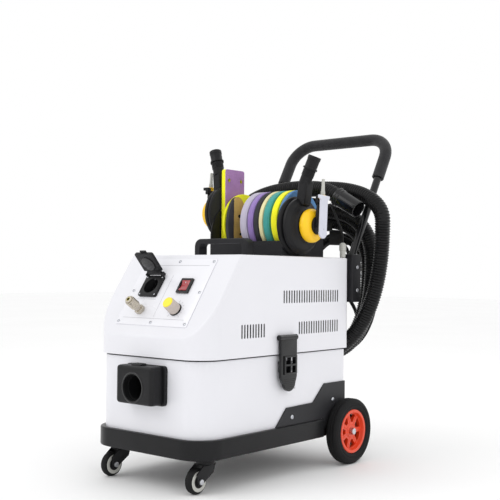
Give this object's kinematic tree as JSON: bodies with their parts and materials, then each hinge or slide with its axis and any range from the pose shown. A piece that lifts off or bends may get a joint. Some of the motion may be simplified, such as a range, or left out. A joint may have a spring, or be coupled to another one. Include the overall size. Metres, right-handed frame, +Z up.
{
  "type": "mobile dust extractor",
  "caption": "Wheeled dust extractor for dry sanding: box tank with a lift-off head, control slope, tool rack with air sanders and discs, push handle and hung suction hose.",
  "frame": {"origin": "on the floor, under the middle of the machine's bounding box", "axes": "+Z up, the front with the suction inlet faces -Y, +X is on the right for someone looking along +Y"},
  "size_m": [0.4729, 0.7619, 0.8019],
  "materials": {
    "white_paint": "satin white powder coat",
    "charcoal_paint": "fine-textured charcoal powder coat",
    "tray_moulding": "satin charcoal moulding",
    "black_plastic": "satin black moulded plastic",
    "tyre_rubber": "matt black solid rubber",
    "orange_plastic": "orange-red moulded plastic",
    "bright_steel": "bright zinc-plated steel",
    "nickel": "nickel-plated brass",
    "yellow_rubber": "smooth yellow rubber",
    "red_rocker": "translucent red plastic",
    "beige_plastic": "warm grey plastic with a yellow cap",
    "grip_foam": "black foam rubber",
    "lever_paint": "silver-white lacquer on aluminium",
    "grey_plastic": "light grey plastic",
    "hose_plastic": "black corrugated plastic",
    "lead_rubber": "matt black flex",
    "purple_pad": "purple abrasive face on yellow foam",
    "lilac_disc": "lilac foam disc",
    "teal_disc": "teal abrasive disc",
    "lemon_disc": "lemon yellow foam disc",
    "cream_disc": "cream abrasive disc",
    "blue_disc": "blue abrasive disc",
    "tan_abrasive": "tan abrasive on a dark pad",
    "dark_disc": "dark grey backing pad"
  },
  "bodies": {
    "chassis": {"base_tray": "tray_moulding", "side_bracket_right": "charcoal_paint", "side_bracket_left": "charcoal_paint", "rear_axle": "bright_steel", "lower_casing": "white_paint", "inlet_housing": "black_plastic", "latch_catch_right": "black_plastic", "latch_catch_left": "black_plastic"},
    "inlet_button": {"inlet_release_button": "black_plastic"},
    "head": {"upper_casing": "white_paint", "head_floor": "black_plastic", "control_panel": "white_paint", "socket_body": "black_plastic", "switch_bezel": "black_plastic", "coupler_body": "nickel", "front_handle": "charcoal_paint", "tool_rack": "charcoal_paint", "sanding_board": "purple_pad", "disc_yellow": "lemon_disc", "half_moon_pad": "tan_abrasive", "disc_lilac": "lilac_disc", "disc_purple": "purple_pad", "disc_grey": "dark_disc", "disc_cream": "cream_disc", "disc_teal": "teal_disc", "disc_lemon": "lemon_disc", "disc_blue": "blue_disc", "handle_tube": "black_plastic", "handle_grip": "grip_foam", "handle_mount": "charcoal_paint", "dust_hose": "hose_plastic", "hose_cuff": "black_plastic", "mains_lead": "lead_rubber", "mains_lead_coil": "lead_rubber", "mains_plug": "black_plastic", "strain_relief": "lead_rubber", "air_tube": "lead_rubber", "air_connector": "grey_plastic"},
    "socket_lid": {"socket_lid": "black_plastic"},
    "rocker": {"switch_rocker": "red_rocker"},
    "knob": {"pressure_knob": "beige_plastic"},
    "sleeve": {"coupler_sleeve": "nickel"},
    "wheel_right": {"wheel_tyre_right": "tyre_rubber", "wheel_hub_right": "orange_plastic"},
    "caster_right": {"caster_fork_right": "black_plastic"},
    "caster_wheel_right": {"caster_wheel_right": "tyre_rubber"},
    "latch_right": {"latch_lever_right": "black_plastic"},
    "sander_right": {"sander_body_right": "black_plastic", "sander_dome_right": "yellow_rubber"},
    "sander_lever_right": {"sander_lever_right": "lever_paint"},
    "sander_pad_right": {"sander_pad_right": "black_plastic"},
    "wheel_left": {"wheel_tyre_left": "tyre_rubber", "wheel_hub_left": "orange_plastic"},
    "caster_left": {"caster_fork_left": "black_plastic"},
    "caster_wheel_left": {"caster_wheel_left": "tyre_rubber"},
    "latch_left": {"latch_lever_left": "black_plastic"},
    "sander_left": {"sander_body_left": "black_plastic", "sander_dome_left": "yellow_rubber"},
    "sander_pad_left": {"sander_pad_left": "black_plastic"}
  },
  "joints": [
    {"name": "head_lift", "type": "slide", "parent": "chassis", "child": "head", "axis": [0, 0, 1], "range_m": [0, 0.18]},
    {"name": "inlet_button_press", "type": "slide", "parent": "chassis", "child": "inlet_button", "axis": [0, 0, -1], "range_m": [0, 0.003], "stiffness_N_per_m": 300},
    {"name": "socket_lid_hinge", "type": "hinge", "parent": "head", "child": "socket_lid", "pos_m": [-0.047, -0.271, 0.43644], "axis": [1, 0, 0], "range_deg": [-15, 104]},
    {"name": "rocker_tilt", "type": "hinge", "parent": "head", "child": "rocker", "pos_m": [0.0505, -0.27709, 0.40914], "axis": [1, 0, 0], "range_deg": [-6, 6]},
    {"name": "knob_turn", "type": "hinge", "parent": "head", "child": "knob", "pos_m": [0.055, -0.31133, 0.36229], "axis": [0, -0.8272, 0.5619], "range_deg": [-135, 135]},
    {"name": "coupler_sleeve_slide", "type": "slide", "parent": "head", "child": "sleeve", "axis": [0, 0.8272, -0.5619], "range_m": [0, 0.004], "stiffness_N_per_m": 250},
    {"name": "wheel_right_spin", "type": "hinge", "parent": "chassis", "child": "wheel_right", "pos_m": [0.181, 0.1355, 0.075], "axis": [1, 0, 0], "continuous": true},
    {"name": "caster_right_swivel", "type": "hinge", "parent": "chassis", "child": "caster_right", "pos_m": [0.125, -0.2935, 0.062], "axis": [0, 0, 1], "continuous": true},
    {"name": "caster_wheel_right_spin", "type": "hinge", "parent": "caster_right", "child": "caster_wheel_right", "pos_m": [0.125, -0.3205, 0.026], "axis": [1, 0, 0], "continuous": true},
    {"name": "latch_right_swing", "type": "hinge", "parent": "head", "child": "latch_right", "pos_m": [0.1694, -0.083, 0.301], "axis": [0, -1, 0], "range_deg": [0, 100]},
    {"name": "sander_right_pull", "type": "slide", "parent": "head", "child": "sander_right", "axis": [1, 0, 0], "range_m": [0, 0.06]},
    {"name": "sander_lever_right_squeeze", "type": "hinge", "parent": "sander_right", "child": "sander_lever_right", "pos_m": [0.1928, 0.01386, 0.61067], "axis": [0, 0.9986, -0.0523], "range_deg": [0, 2.4], "stiffness_Nm_per_rad": 0.4},
    {"name": "sander_pad_right_spin", "type": "hinge", "parent": "sander_right", "child": "sander_pad_right", "pos_m": [0.1103, 0.0155, 0.5465], "axis": [1, 0, 0], "continuous": true},
    {"name": "wheel_left_spin", "type": "hinge", "parent": "chassis", "child": "wheel_left", "pos_m": [-0.181, 0.1355, 0.075], "axis": [1, 0, 0], "continuous": true},
    {"name": "caster_left_swivel", "type": "hinge", "parent": "chassis", "child": "caster_left", "pos_m": [-0.125, -0.2935, 0.062], "axis": [0, 0, 1], "continuous": true},
    {"name": "caster_wheel_left_spin", "type": "hinge", "parent": "caster_left", "child": "caster_wheel_left", "pos_m": [-0.125, -0.3205, 0.026], "axis": [1, 0, 0], "continuous": true},
    {"name": "latch_left_swing", "type": "hinge", "parent": "head", "child": "latch_left", "pos_m": [-0.1694, -0.083, 0.301], "axis": [0, 1, 0], "range_deg": [0, 100]},
    {"name": "sander_left_pull", "type": "slide", "parent": "head", "child": "sander_left", "axis": [-1, 0, 0], "range_m": [0, 0.06]},
    {"name": "sander_pad_left_spin", "type": "hinge", "parent": "sander_left", "child": "sander_pad_left", "pos_m": [-0.1103, 0.0375, 0.585], "axis": [1, 0, 0], "continuous": true}
  ]
}
